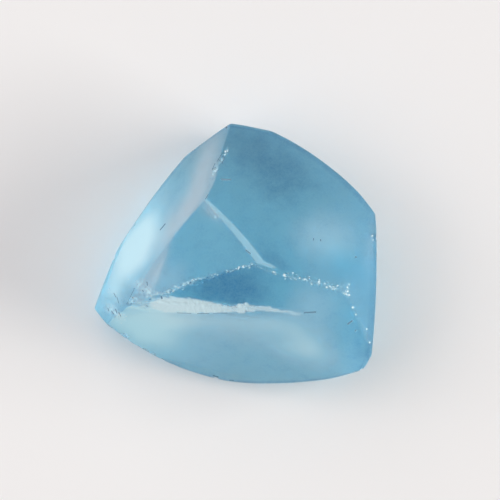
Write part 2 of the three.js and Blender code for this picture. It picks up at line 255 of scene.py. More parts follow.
# Fine dark hairs and specks in the skin: ends in plan and half width (mm).
STROKES = (
    (-0.68, 3.7, -0.22, 3.69, 0.035), (-3.75, 1.2, -3.5, 1.5, 0.03), (3.42, -2.92, 3.98, -2.88, 0.042),
    (5.58, -3.48, 5.82, -3.3, 0.04), (5.98, -0.15, 5.98, -0.16, 0.06), (5.98, -3.8, 5.98, -3.81, 0.055),
    (4.23, 0.72, 4.23, 0.66, 0.035), (3.88, 0.76, 3.88, 0.7, 0.035), (-0.45, 6.32, -0.46, 6.3, 0.06),
    (-4.4, -1.4, -4.38, -1.55, 0.035), (-3.68, -2.12, -3.66, -2.2, 0.06), (0.52, 0.2, 0.75, 0.02, 0.03),
    (-2.9, -2.93, -2.2, -2.95, 0.014), (-1.9, -2.96, -1.3, -2.95, 0.014), (-1.1, -2.95, -0.4, -2.93, 0.012),
    (-0.7, 4.95, -0.92, 4.6, 0.018), (-1.02, 4.5, -1.15, 4.2, 0.02), (-0.55, 4.85, -0.66, 4.5, 0.016),
    (-1.15, 4.25, -0.98, 4.3, 0.018), (-0.84, 4.7, -0.74, 4.6, 0.018), (-1.35, 2.95, -1.5, 2.72, 0.022),
    (-1.12, -6.1, -0.88, -6.17, 0.035), (-0.3, -6.33, -0.1, -6.34, 0.02), (-5.42, -2.5, -5.02, -1.7, 0.014),
    (-6.08, -1.95, -5.98, -2.15, 0.02), (-5.92, -2.15, -5.82, -2.45, 0.018), (-6.18, -2.85, -6.08, -3, 0.03),
    (-5.98, -2.75, -5.92, -2.95, 0.028), (-5.82, -2.9, -5.72, -3.1, 0.02), (-6.38, -2.7, -6.32, -2.85, 0.022),
    (-5.12, -2.15, -5.1, -2.2, 0.035), (-4.62, -1.8, -4.58, -1.86, 0.03), (-4.28, -2.25, -4.2, -2.24, 0.03),
    (-2.28, -1.45, -2.22, -1.42, 0.03), (-2.08, -1.25, -2, -1.3, 0.028),
)


def directions(face):
    """Unit vectors of a face: out of it, level across its slope, and along its slope."""
    azimuth, tilt = np.radians(face[3:5])
    out = np.array([np.sin(tilt) * np.cos(azimuth), np.sin(tilt) * np.sin(azimuth), np.cos(tilt)])
    across = np.array([-np.sin(azimuth), np.cos(azimuth), 0.0])
    return out, across, np.cross(out, across)


def reach(face, start, rays):
    """How far each ray runs from its start before it meets a rounded face.

    The face is out.p + (across.p)^2 / 2R + (along.p)^2 / 2S = 0, with p counted from its touching point.
    Along a ray that is a quadratic in the distance, and this is its root on the way out.
    """
    out, across, along = directions(face)
    start = start - np.array(face[:3], float)
    radius, fall = face[5:7]
    a = (rays @ across) ** 2 / (2 * radius) + (rays @ along) ** 2 / (2 * fall)
    b = rays @ out + (start @ across) * (rays @ across) / radius + (start @ along) * (rays @ along) / fall
    c = start @ out + (start @ across) ** 2 / (2 * radius) + (start @ along) ** 2 / (2 * fall)
    root = np.sqrt(np.maximum(b * b - 4 * a * c, 0))
    return 2 * c / np.minimum(-b - root, -NEXT_TO_NOTHING)


def crown_height(x, y):
    """Height at which the upright line over each plan point leaves the crown faces."""
    feet = np.stack([x, y, 0 * x], axis=-1)
    return np.min([reach(face, feet, np.array([0.0, 0.0, 1.0])) for face in CROWN.values()], axis=0)


def crown_out(x, y, step=0.1):
    """Unit direction out of the crown over a plan point, the mean of both sides on a ridge."""
    sides = crown_height(x + step * np.array([1, -1, 0, 0]), y + step * np.array([0, 0, 1, -1]))
    out = np.array([sides[1] - sides[0], sides[3] - sides[2], 2 * step])
    return out / np.linalg.norm(out)


def outline(turn):
    """Distance from the upright axis to the walls, level with the middle, at each angle round."""
    rays = np.stack([np.cos(turn), np.sin(turn), 0 * turn], axis=-1)
    return np.min([reach(face, MIDDLE, rays) for face in WALLS.values()], axis=0)


def worn_minimum(distances, wear):
    """The least of several distances, with the corner between any two worn round over about wear."""
    least = distances.min(axis=0)
    return least - wear * np.log(np.exp(-(distances - least) / wear).sum(axis=0))


def waves(points, length, seed, count=28):
    """Smooth uneven values about 0 with a spread of 1: a sum of cosines of about one wave length.

    Their directions, lengths and phases are drawn at random, the same each time.
    """
    pick = np.random.default_rng(seed)
    ways = pick.normal(size=(count, 3))
    stretches = pick.uniform(*WAVE_SPREAD, (count, 1))
    ways /= np.linalg.norm(ways, axis=1, keepdims=True) * length * stretches
    phases = pick.uniform(0, 1, count)
    return np.cos(2 * np.pi * (points @ ways.T + phases)).sum(axis=1) * np.sqrt(2 / count)


def aims(steps, layers):
    """Points to aim at over the whole stone, and the triangles that join them.

    Over the crown a square grid of two parameters is carried onto a disc, ring by ring, and stretched to
    the outline. Its last ring is then repeated down the walls and in under the base to one closing point.
    """
    side = np.linspace(-1, 1, steps + 1)
    u, v = [part.reshape(-1) for part in np.meshgrid(side, side, indexing="ij")]
    wide = abs(u) >= abs(v)
    radius = np.where(wide, u, v)
    share = np.where(wide, v, u) / np.where(radius == 0, 1, radius)
    turn = np.where(wide, share, 2 - share) * np.pi / 4
    x, y = radius * np.cos(turn), radius * np.sin(turn)
    turn, radius = np.arctan2(y, x), np.hypot(x, y)
    far = radius * outline(turn)
    x, y = far * np.cos(turn), far * np.sin(turn)
    top = np.stack([x, y, crown_height(x, y)], axis=1)
    index = np.arange(len(top)).reshape(steps + 1, steps + 1)
    corners = [index[:-1, :-1], index[1:, :-1], index[1:, 1:], index[:-1, 1:]]
    cells = [np.stack([corner.reshape(-1) for corner in corners], axis=1)]
    loop = np.concatenate([index[:-1, 0], index[-1, :-1], index[:0:-1, -1], index[0, :0:-1]])
    edge = top[loop]
    walls = [edge * (1, 1, 1 - row / layers) for row in range(1, layers + 1)]
    under = [edge * (share, share, 0) for share in BASE_RINGS]
    points = np.concatenate([top, *walls, *under, np.zeros((1, 3))])
    ring = loop
    for row in range(len(walls) + len(under)):
        below = len(top) + row * len(loop) + np.arange(len(loop))
        cells.append(np.stack([ring, below, np.roll(below, -1), np.roll(ring, -1)], axis=1))
        ring = below
    cap = np.stack([ring, np.full(len(ring), len(points) - 1), np.roll(ring, -1)], axis=1)
    return points, np.concatenate(cells), cap


def chips(settings):
    """Every chip as the place of its middle, its three axes and its three radii."""
    pick = np.random.default_rng(settings.seed)
    places = []
    for x0, y0, x1, y1, count, least, most, stray in CHIP_RUNS.values():
        share = (np.arange(count) + pick.uniform(*CHIP_STEP_SPREAD, count)) / count
        x = x0 + (x1 - x0) * share + pick.uniform(-stray, stray, count)
        y = y0 + (y1 - y0) * share + pick.uniform(-stray, stray, count)
        radii = least + (most - least) * pick.random(count) ** CHIP_SIZE_POWER
        run = np.arctan2(y1 - y0, x1 - x0)
        places += [(*place, run) for place in zip(x, y, radii)]
    places += [(x, y, radius, 0.0) for x, y, radius in NICKS]
    found = []
    for x, y, radius, run in places:
        point = np.array([x, y, crown_height(x, y)])
        found.append((point, crown_out(x, y), np.array([np.cos(run), np.sin(run), 0]), radius, 1))
    for angle, radius in RIM_CHIPS:
        turn = np.radians(angle)
        out = np.array([np.cos(turn), np.sin(turn), 0])
        x, y, _ = out * outline(turn)
        point = np.array([x, y, RIM_CHIP_LEVEL * crown_height(x, y)])
        found.append((point, out, np.array([-out[1], out[0], 0]), radius, RIM_CHIP_RISE))
    made = []
    for point, out, run, radius, rise in found:
        out = out + pick.normal(scale=CHIP_TILT, size=3)
        out /= np.linalg.norm(out)
        side = np.cross(out, run)
        side /= np.linalg.norm(side)
        axes = np.array([np.cross(side, out), side, out])
        length = CHIP_LENGTH * pick.uniform(*CHIP_LENGTH_SPREAD)
        height = rise * pick.uniform(*CHIP_HEIGHT_SPREAD)
        radii = radius * np.array([length, height, 1])
        made.append((point + out * radius * (1 - CHIP_DEPTH), axes, radii))
    return made


def scooped(reached, rays, chip):
    """Distances cut back to the near side of one ellipsoid, and where they were cut.

    A point is cut where its distance lies between the two roots of the ray's quadratic in the ellipsoid.
    """
    place, axes, radii = chip
    start = axes @ (MIDDLE - place) / radii
    ways = rays @ (axes / radii[:, None]).T
    a, b, c = (ways * ways).sum(axis=1), ways @ start, start @ start - 1
    root = np.sqrt(np.maximum(b * b - a * c, 0))
    near, far = (-b - root) / a, (-b + root) / a
    cut = (near < reached) & (reached < far)
    return np.where(cut, near, reached), cut


def streak(points, ends, widths):
    """How near each point is, in plan, to the line between two ends: 1 on it, 0 at its half width."""
    start, way = np.array(ends[:2]), np.subtract(ends[2:], ends[:2])
    share = np.clip((points[:, :2] - start) @ way / (way @ way), 0, 1)
    away = np.linalg.norm(points[:, :2] - start - share[:, None] * way, axis=1)
    return np.clip(1 - away / (widths[0] + (widths[1] - widths[0]) * share), 0, 1)


def softened(distances, rays):
    """The distances to the faces with hollows and soft ridges, and the distance to the ribbon after them.

    A hollow brings its face nearer by a round swelling of the distance. A ribbon is the mean of its two
    faces less its depth, which cuts a strip along the ridge between them. Both faces of a soft ridge are
    replaced by their rounded least.
    """
    touched = MIDDLE + rays * distances.min(axis=0)[:, None]
    x, y = touched[:, 0], touched[:, 1]
    names = list(FACES)
    for name, (x0, y0, radius, depth) in HOLLOWS.items():
        distances[names.index(name)] -= depth * np.exp(-((x - x0) ** 2 + (y - y0) ** 2) / radius**2)
    strips = [
        distances[[names.index(first), names.index(second)]].mean(axis=0) - np.interp(x, along, depth)
        for first, second, along, depth in RIBBONS
    ]
    distances = np.concatenate([distances, np.min(strips, axis=0)[None]])
    for first, second, x0, wear0, x1, wear1 in SOFT_RIDGES:
        pair = [names.index(first), names.index(second)]
        distances[pair] = worn_minimum(distances[pair], np.interp(x, (x0, x1), (wear0, wear1)))
    return distances


def crushed_lens(flat):
    """How crushed each point is by the lens under the shoulder.

    It is the strength at x times a ramp over the distance in from the nearer of the two edges, and waves in
    y make the edges ragged.
    """
    x, y = flat[:, 0], flat[:, 1] + LENS_RAGGED * waves(flat, *LENS_EDGE_WAVES)
    inside = np.minimum(np.interp(x, LENS_X, LENS_TOP) - y, y - np.interp(x, LENS_X, LENS_FOOT))
    strength = np.interp(x, LENS_X, LENS_STRENGTH, left=0, right=0)
    return strength * np.clip(inside / LENS_FADE + LENS_EDGE, 0, 1)


def rim_line(flat, facets):
    """How dark each point is by the painted shade line along the edge of the crown, kept off the walls below
    it.

    It is the strength at the angle round times a ramp that falls with the distance in from the outline.
    """
    turn = np.arctan2(flat[:, 1], flat[:, 0])
    inside = (outline(turn) - np.hypot(flat[:, 0], flat[:, 1])) / RIM_LINE_WIDTH
    strength = np.interp(np.degrees(turn), RIM_LINE_ANGLES, RIM_LINE_STRENGTHS)
    on_crown = sum(facets[name] for name in CROWN)
    return strength * np.clip(RIM_LINE_REACH - inside, 0, 1) * np.clip(on_crown, 0, 1)


def zones(table, flat, facets):
    """The sum at each point of the soft oval patches of a table, each kept to its facet.

    A patch is its strength times exp(-(s^2 + t^2)), with s and t the shifts along and across it in plan, each
    as a share of its reach.
    """
    tone = np.zeros(len(flat))
    for facet, x, y, along, across, turn, strength in table.values():
        angle = np.radians(turn)
        shift = flat[:, :2] - (x, y)
        first = shift @ (np.cos(angle), np.sin(angle)) / along
        second = shift @ (-np.sin(angle), np.cos(angle)) / across
        tone += strength * facets[facet] * np.exp(-(first ** 2 + second ** 2))
    return tone


def stone_surface(settings):
    """Points (mm), faces and masks of the stone's surface.

    Each point aimed at is carried along its ray from the middle of the stone until it meets the nearest
    ground face or ribbon, with the ridges worn round. Slow waves, crushed grain and chips are then taken off.
    """
    points, cells, cap = aims(settings.steps, settings.layers)
    rays = points - MIDDLE
    rays /= np.linalg.norm(rays, axis=1, keepdims=True)
    distances = np.array([reach(face, MIDDLE, rays) for face in FACES.values()])
    distances = softened(distances, rays)
    reached = worn_minimum(distances, settings.wear / MM)
    flat = MIDDLE + rays * reached[:, None]
    facets = dict(zip([*FACES, "ribbon"], np.exp((distances.min(axis=0) - distances) / FACET_BLEND)))
    crown = flat[:, 2] > CROWN_FOOT
    streaks = [line[6] * np.sqrt(streak(flat, line[:4], line[4:6])) for line in CRUSHED.values()]
    broken = np.max(streaks, axis=0) * crown
    # Painted light (above 0) and painted shade (below 0) from the zones, and painted glow on whole facets.
    tone = zones(LIGHT_AND_SHADE_ZONES, flat, facets) * (1 - facets["ribbon"])
    tone += sum(facets[name] * painted_glow for name, painted_glow in PAINTED_GLOW_FACETS.items())
    swell = 1 + np.clip(waves(flat, *SWELL_WAVES), -1, 1)
    grain = 1 + np.clip(waves(flat, *CRUSH_WAVES), -1, 1)
    filled = crushed_lens(flat) * crown
    crushing = np.maximum(broken, LENS_GRAIN * filled)
    reached = reached - settings.swell / MM * swell - settings.crush / MM * grain * crushing
    fresh = np.zeros(len(flat), bool)
    for chip in chips(settings):
        reached, cut = scooped(reached, rays, chip)
        fresh |= cut
    surface = MIDDLE + rays * reached[:, None]
    masks = {
        "crushed": broken,
        "lens": filled,
        "fresh": fresh.astype(float),
        # Painted glow, laid on as a paler, milkier and rougher skin.
        "painted_glow": np.maximum(tone, 0) * crown,
        # Painted shade, laid on as a deeper tint: the zones below 0 and the painted shade line along the rim.
        "painted_shade": np.maximum((1 - np.exp(np.minimum(tone, 0))) * crown, rim_line(flat, facets)),
        # Greyish chalky skin, partly real crushed frost and partly painted sheen.
        "chalk_and_sheen": zones(CHALK_AND_SHEEN_ZONES, flat, facets) * crown,
        # Painted colour of light that ran through the stone, bluer with less red.
        "bluer": zones(BLUER, flat, facets) * crown,
    }
    return surface, split(surface, cells), cap, masks


def split(surface, cells):
    """Cells cut into triangles along the diagonal that stands further out, so that ridges stay whole.

    A triangle and the middle of the stone make a wedge, whose volume is negative where the triangle is turned
    inwards. A diagonal whose thinner wedge is over WEDGE_RATIO times the other's is taken in any case.
    """
    ways = [cells, np.roll(cells, -1, axis=1)]
    spans, wedges = [], []
    for way in ways:
        first, second, third, fourth = np.moveaxis(surface[way] - MIDDLE, 1, 0)
        across = np.cross(first, third)
        wedges.append(np.minimum(-(across * second).sum(axis=1), (across * fourth).sum(axis=1)))
        spans.append(np.linalg.norm(first + third, axis=1))
    outward = spans[0] >= spans[1]
    refused = wedges[1] > WEDGE_RATIO * wedges[0]
    first_way = (wedges[0] > WEDGE_RATIO * wedges[1]) | (outward & ~refused)
    chosen = np.where(first_way[:, None], *ways)
    return np.concatenate([chosen[:, [0, 1, 2]], chosen[:, [0, 2, 3]]])


def make_mesh(name, points, faces, masks):
    """A mesh object at the origin from points in metres, with one float attribute for each mask."""
    mesh = bpy.data.meshes.new(name)
    mesh.from_pydata(points, [], faces)
    mesh.update()
    for mask, values in masks.items():
        attribute = mesh.attributes.new(mask, "FLOAT", "POINT")
        attribute.data.foreach_set("value", values.astype(np.float32))
    mesh.shade_smooth()
    piece = bpy.data.objects.new(name, mesh)
    bpy.context.scene.collection.objects.link(piece)
    return piece


def node(tree, kind, inputs, **settings):
    """A new node with its settings, and its inputs given as numbers or as sockets to link from."""
    made = tree.nodes.new(kind)
    for name, value in settings.items():
        setattr(made, name, value)
    for name, value in inputs.items():
        if isinstance(value, bpy.types.NodeSocket):
            tree.links.new(value, made.inputs[name])
        else:
            made.inputs[name].default_value = value
    return made


def sum_of(tree, operation, first, second, third=0.0, clamp=False):
    """The outcome of one sum, as a socket."""
    made = node(tree, "ShaderNodeMath", {0: first, 1: second, 2: third}, operation=operation, use_clamp=clamp)
    return made.outputs[0]


def mask_of(tree, name):
    """One of the stone's masks, as a socket."""
    return node(tree, "ShaderNodeAttribute", {}, attribute_name=name).outputs["Fac"]


def noise_of(tree, place, length, detail, roughness=0.5):
    """Noise of one size (m) over the stone, as a socket."""
    settings = {"Vector": place, "Scale": 1 / length, "Detail": detail, "Roughness": roughness}
    return node(tree, "ShaderNodeTexNoise", settings).outputs["Fac"]


def mixed(tree, share, first, second):
    """A mix of two colours, as a socket."""
    made = node(tree, "ShaderNodeMix", {0: share, 6: first, 7: second}, data_type="RGBA")
    return made.outputs[2]


def within(tree, away, edge, core):
    """1 where a distance is less than the core and 0 where it is past the edge, as a socket."""
    return node(tree, "ShaderNodeMapRange", {0: away, 1: edge, 2: core, 3: 0.0, 4: 1.0}).outputs[0]


def vector_sum(tree, operation, inputs, output):
    """One output of one sum of vectors, as a socket."""
    return node(tree, "ShaderNodeVectorMath", inputs, operation=operation).outputs[output]


# Share of a hair's half width over which it is at its darkest.
HAIR_CORE = 0.4


def stroke_of(tree, place, ends, half_width):
    """1 on the line between two ends and 0 beyond its half width, as a socket.

    The shift from the first end is measured against the part of the line that lies abreast of it.
    """
    start, end = Vector(ends[0]), Vector(ends[1])
    way = end - start
    shift = vector_sum(tree, "SUBTRACT", {0: place, 1: start}, "Vector")
    along = vector_sum(tree, "DOT_PRODUCT", {0: shift, 1: way / way.dot(way)}, "Value")
    share = sum_of(tree, "ADD", along, 0.0, clamp=True)
    part = vector_sum(tree, "SCALE", {0: way, "Scale": share}, "Vector")
    away = vector_sum(tree, "DISTANCE", {0: shift, 1: part}, "Value")
    return within(tree, away, half_width, half_width * HAIR_CORE)


def strokes_of(tree, plan):
    """All the fine dark hairs and specks together, as a socket: 1 on the hairs, in plan."""
    marks = 0.0
    for x0, y0, x1, y1, half_width in STROKES:
        ends = [(x0 * MM, y0 * MM, 0), (x1 * MM, y1 * MM, 0)]
        marks = sum_of(tree, "MAXIMUM", stroke_of(tree, plan, ends, half_width * MM), marks)
    return marks


# Painted glints of small round chips: how far they stray from an even grid, and the share of the places that
# hold one, which is the crushing times the first number plus the second.
SPARK_STRAY = 0.9
SPARK_SHARE = (0.9, -0.12)
# Where a painted glint and the painted shadow ring round it end and where they are full, as shares of their
# spacing.
SPARK_EDGE = (0.32, 0.22)
RING_SHADOW_EDGE = (0.6, 0.45)
# Share of a nick's radius out to which its painted glint reaches, and over what width its edge fades (mm).
NICK_REACH = 0.64
NICK_FADE = 0.03
# A distance further off than any nick (m).
FAR_OFF = 1.0


def sparks_of(tree, place, crushed, length):
    """Painted glints of round chips, and the painted shadow ring round each, as two sockets.

    They sit at the cell centres of a Voronoi pattern, in the cells whose random number is below a level that
    rises with the crushing.
    """
    pattern = {"Vector": place, "Scale": 1 / length, "Randomness": SPARK_STRAY}
    cells = node(tree, "ShaderNodeTexVoronoi", pattern)
    drawn = node(tree, "ShaderNodeSeparateXYZ", {0: cells.outputs["Color"]}).outputs["X"]
    chosen = sum_of(tree, "LESS_THAN", drawn, sum_of(tree, "MULTIPLY_ADD", crushed, *SPARK_SHARE))
    spark = sum_of(tree, "MULTIPLY", chosen, within(tree, cells.outputs["Distance"], *SPARK_EDGE))
    ring_shadow = sum_of(tree, "MULTIPLY", chosen, within(tree, cells.outputs["Distance"], *RING_SHADOW_EDGE))
    return spark, sum_of(tree, "SUBTRACT", ring_shadow, spark, clamp=True)


def nicks_of(tree, plan):
    """The painted glints of the single nicks, as a socket: 1 on the bright spot in the middle of each, in
    plan.

    It is a ramp over the fade, half way down where the spot of the nearest nick ends.
    """
    least = FAR_OFF
    for x, y, radius in NICKS:
        away = vector_sum(tree, "DISTANCE", {0: plan, 1: (x * MM, y * MM, 0)}, "Value")
        beyond = sum_of(tree, "SUBTRACT", away, NICK_REACH * radius * MM)
        least = sum_of(tree, "MINIMUM", beyond, least)
    return sum_of(tree, "MULTIPLY_ADD", least, -1 / (NICK_FADE * MM), 0.5, clamp=True)


# Level of the grit noise above which a speckle shows and below which a pit shows, on skin that isn't crushed,
# how far crushing shifts each level, and how sharp their edges are.
SPECKLE_LEVEL = 0.77
SPECKLE_SHIFT = -0.42
PIT_LEVEL = 0.2
PIT_SHIFT = 0.3
GRIT_EDGE = 9.0


def grit_of(tree, place, crushed, length):
    """White speckles and dark pits of crushed skin, as two sockets.

    A speckle shows where the noise is above a level that crushing lowers, and a pit where it is below one
    that crushing raises.
    """
    grit = noise_of(tree, place, length, detail=3)
    speckle_level = sum_of(tree, "MULTIPLY_ADD", crushed, SPECKLE_SHIFT, SPECKLE_LEVEL)
    pit_level = sum_of(tree, "MULTIPLY_ADD", crushed, PIT_SHIFT, PIT_LEVEL)
    speckle = sum_of(tree, "MULTIPLY", sum_of(tree, "SUBTRACT", grit, speckle_level), GRIT_EDGE, clamp=True)
    pits = sum_of(tree, "MULTIPLY", sum_of(tree, "SUBTRACT", pit_level, grit), GRIT_EDGE, clamp=True)
    return speckle, pits


def tinted(tree, first, layers):
    """A colour with tints laid over it one after another, each by its own share, as a socket."""
    colour = (*first, 1)
    for share, tint in layers:
        colour = mixed(tree, share, colour, (*tint, 1))
    return colour


# Masks that the surface carries for the material.
MASKS = ("crushed", "lens", "fresh", "painted_glow", "painted_shade", "chalk_and_sheen", "bluer")
# Height above which hairs and nicks show (mm), and how dark the hairs and the pits are as marks.
MARKS_FOOT = 0.8
HAIR_STRENGTH = 0.9
PIT_MARKS = 0.5
# Least thickness of the veil of painted glow, to which the uneven frosting is added.
GLOW_VEIL_LEAST = 0.5
# Haze of crushed skin: the crushing times the first number plus the second.
HAZE = (0.8, -0.38)
# How far the lens is filled in: its uneven patches times the first number plus the second.
LENS_FILL = (0.5, 0.6)
# How pale a speckle is, and how strongly haze takes the colour of crushed skin.
SPECKLE_PALENESS = 0.85
HAZE_TINT = 3.0
# How strongly the veil of painted glow and the chalky skin with its painted sheen take their own colours.
GLOW_VEIL_TINT = 2.5
CHALK_AND_SHEEN_TINT = 2.0
# How far the painted shadow rings and the pits deepen the colour, and the middle level of the mottle.
RING_SHADOW_DEPTH = 0.35
PIT_DEPTH = 0.9
MOTTLE_LEVEL = 0.95
# Spread of the roughness with the uneven frosting, and what skin under painted glow and under painted shade
# adds to it.
FROST_SPREAD = 0.1
GLOW_ZONE_FROST = 0.55
SHADE_ZONE_FROST = -0.3
# Strength of the bump of the grinding grain, and how rough its noise is.
GRAIN_BUMP = 0.6
GRAIN_ROUGHNESS = 0.85


def broken_skin(tree, place, crushed, look):
    """What crushing, nicks and hairs put on the skin: a socket for each, by name.

    They are white speckles, dark pits, painted glints of chips and nicks, the painted shadow rings round the
    glints of the chips, and dark marks, which are the hairs and, more weakly, the pits. Hairs and nicks are
    laid out in plan, and a least height keeps them off the underside.
    """
    plan = vector_sum(tree, "MULTIPLY", {0: place, 1: (1, 1, 0)}, "Vector")
    height = node(tree, "ShaderNodeSeparateXYZ", {0: place}).outputs["Z"]
    above = sum_of(tree, "GREATER_THAN", height, MARKS_FOOT * MM)
    hairs = sum_of(tree, "MULTIPLY", strokes_of(tree, plan), sum_of(tree, "MULTIPLY", above, HAIR_STRENGTH))
    nick_glints = sum_of(tree, "MULTIPLY", nicks_of(tree, plan), above)
    speckle, pits = grit_of(tree, place, crushed, look.grain)
    spark, ring = sparks_of(tree, place, crushed, look.spark)
    return {
        "speckle": speckle,
        "pits": pits,
        # Painted glints of the round chips and the nicks.
        "spark": sum_of(tree, "MAXIMUM", spark, nick_glints),
        # Painted shadow ring round each glint.
        "ring": ring,
        "marks": sum_of(tree, "MAXIMUM", hairs, sum_of(tree, "MULTIPLY", pits, PIT_MARKS)),
    }


def veils(tree, masks, broken, uneven, patchy):
    """The painted glow veil, the haze of crushed skin, and how much light the skin lets in, as three sockets.

    The skin lets in what isn't held back by the sum of glow veil, chalk with its painted sheen, lens, haze
    and speckles, by a painted glint or by a dark mark, whichever is the most.
    """
    thickness = sum_of(tree, "ADD", uneven, GLOW_VEIL_LEAST)
    # The painted glow, as a veil of paler milky skin.
    glow_veil = sum_of(tree, "MULTIPLY", sum_of(tree, "MULTIPLY", masks["painted_glow"], masks["painted_glow"]), thickness)
    filling = sum_of(tree, "MULTIPLY_ADD", patchy, *LENS_FILL)
    filled = sum_of(tree, "MULTIPLY", masks["lens"], filling, clamp=True)
    haze = sum_of(tree, "MULTIPLY_ADD", masks["crushed"], *HAZE, clamp=True)
    misty = sum_of(tree, "ADD", sum_of(tree, "ADD", sum_of(tree, "ADD", glow_veil, masks["chalk_and_sheen"]), filled), haze)
    speckled = sum_of(tree, "MULTIPLY_ADD", broken["speckle"], SPECKLE_PALENESS, misty, clamp=True)
    pale = sum_of(tree, "MAXIMUM", speckled, broken["spark"])
    held_back = sum_of(tree, "MAXIMUM", pale, broken["marks"])
    return glow_veil, haze, sum_of(tree, "SUBTRACT", 1.0, held_back, clamp=True)


def skin_colour(tree, masks, broken, glow_veil, haze, mottle, look):
    """Tint of the skin, as a socket: the plain tint with all the others laid over it in turn."""
    # Painted shadow rings round the glints and dark pits, with painted shade and the random mottle, make it
    # darker.
    ring_shadow = sum_of(tree, "MULTIPLY", broken["ring"], RING_SHADOW_DEPTH)
    dark = sum_of(tree, "MAXIMUM", ring_shadow, sum_of(tree, "MULTIPLY", broken["pits"], PIT_DEPTH))
    darker = sum_of(tree, "ADD", sum_of(tree, "ADD", dark, masks["painted_shade"]), mottle, clamp=True)
    # Shares of the painted glow tint and of the chalk tint with its painted sheen.
    glowed = sum_of(tree, "MULTIPLY", glow_veil, GLOW_VEIL_TINT, clamp=True)
    chalk_and_sheen_share = sum_of(tree, "MULTIPLY", masks["chalk_and_sheen"], CHALK_AND_SHEEN_TINT, clamp=True)
    crumbled = sum_of(tree, "MULTIPLY_ADD", haze, HAZE_TINT, broken["speckle"], clamp=True)
    return tinted(tree, look.skin_tint, (
        # Painted shade.
        (darker, look.painted_shade_tint),
        # Painted glow.
        (glowed, look.painted_glow_tint),
        # Painted colour of light that ran through the stone, and of the painted glow on the west slope.
        (masks["bluer"], look.bluer_tint),
        # Chalky skin with painted sheen.
        (chalk_and_sheen_share, look.chalk_and_sheen_tint),
        (masks["lens"], look.lens_tint),
        (crumbled, look.crushed_tint),
        # Painted glints of chips and nicks.
        (broken["spark"], look.spark_tint),
        (broken["marks"], look.mark_tint),
    ))


def skin_roughness(tree, masks, uneven, look):
    """Roughness of the skin, as a socket: uneven frost, coarser in painted glow, finer in painted shade and
    chips.
    """
    ground = sum_of(tree, "MULTIPLY_ADD", uneven, FROST_SPREAD, look.frost - FROST_SPREAD / 2)
    coarse = sum_of(tree, "MULTIPLY_ADD", masks["painted_glow"], GLOW_ZONE_FROST, ground)
    fine = sum_of(tree, "MULTIPLY_ADD", masks["painted_shade"], SHADE_ZONE_FROST, coarse)
    glossy = sum_of(tree, "MULTIPLY", masks["fresh"], look.frost - look.fresh_frost)
    return sum_of(tree, "SUBTRACT", fine, glossy, clamp=True)


def ground_topaz(look):
    """Frosted clear blue: rough transmission at the ground skin and plain absorption inside.

    Crushed skin is hazy and broken up into white speckles, dark pits and painted glints of round chips, each
    with a painted shadow ring. Painted glow is laid on as coarser, paler skin, chalky skin with painted sheen
    is greyer, the painted bluer zones hold back the red, and painted shade is finer ground and tinted darker.
    Fine hairs, and nicks with painted glints, are marked on the crown.
    """
    material = bpy.data.materials.new("ground_topaz")
    material.use_nodes = True
    tree = material.node_tree
    place = node(tree, "ShaderNodeTexCoord", {}).outputs["Object"]
    masks = {name: mask_of(tree, name) for name in MASKS}
    uneven = noise_of(tree, place, look.cloud, detail=2)
    patchy = noise_of(tree, place, look.patch, detail=3)
    grain = noise_of(tree, place, look.frost_grain, detail=3, roughness=GRAIN_ROUGHNESS)
    middle = -MOTTLE_LEVEL * look.mottle
    mottle = sum_of(tree, "MULTIPLY_ADD", sum_of(tree, "ADD", grain, patchy), look.mottle, middle)
    broken = broken_skin(tree, place, masks["crushed"], look)
    glow_veil, haze, clear = veils(tree, masks, broken, uneven, patchy)
    bump = {"Height": grain, "Strength": GRAIN_BUMP, "Distance": look.frost_depth}
    skin = tree.nodes["Principled BSDF"]
    skin.inputs["IOR"].default_value = look.ior
    for name, socket in (
        ("Base Color", skin_colour(tree, masks, broken, glow_veil, haze, mottle, look)),
        ("Transmission Weight", clear),
        ("Roughness", skin_roughness(tree, masks, uneven, look)),
        ("Normal", node(tree, "ShaderNodeBump", bump).outputs["Normal"]),
    ):
        tree.links.new(socket, skin.inputs[name])
    body = {"Color": (*look.body_colour, 1), "Density": look.body_density}
    inside = node(tree, "ShaderNodeVolumeAbsorption", body)
    tree.links.new(inside.outputs["Volume"], tree.nodes["Material Output"].inputs["Volume"])
    return material


class StoneSize(bpy.types.PropertyGroup):
    """Resolution and wear of the stone's surface."""

    steps: IntProperty(name="Steps", description="Grid steps across the crown", default=250)
    layers: IntProperty(name="Layers", description="Grid rows down the walls", default=24)
    wear: FloatProperty(
        name="Ridge wear", description="How far the ridges are rubbed round", default=0.000015, unit="LENGTH"
    )
    swell: FloatProperty(
        name="Swell", description="Depth of the slow waves of the faces", default=0.000006, unit="LENGTH"
    )
    crush: FloatProperty(
        name="Crush", description="Depth of the crushed grain", default=0.000015, unit="LENGTH"
    )
    seed: IntProperty(name="Seed", description="Draw of the chips", default=7)


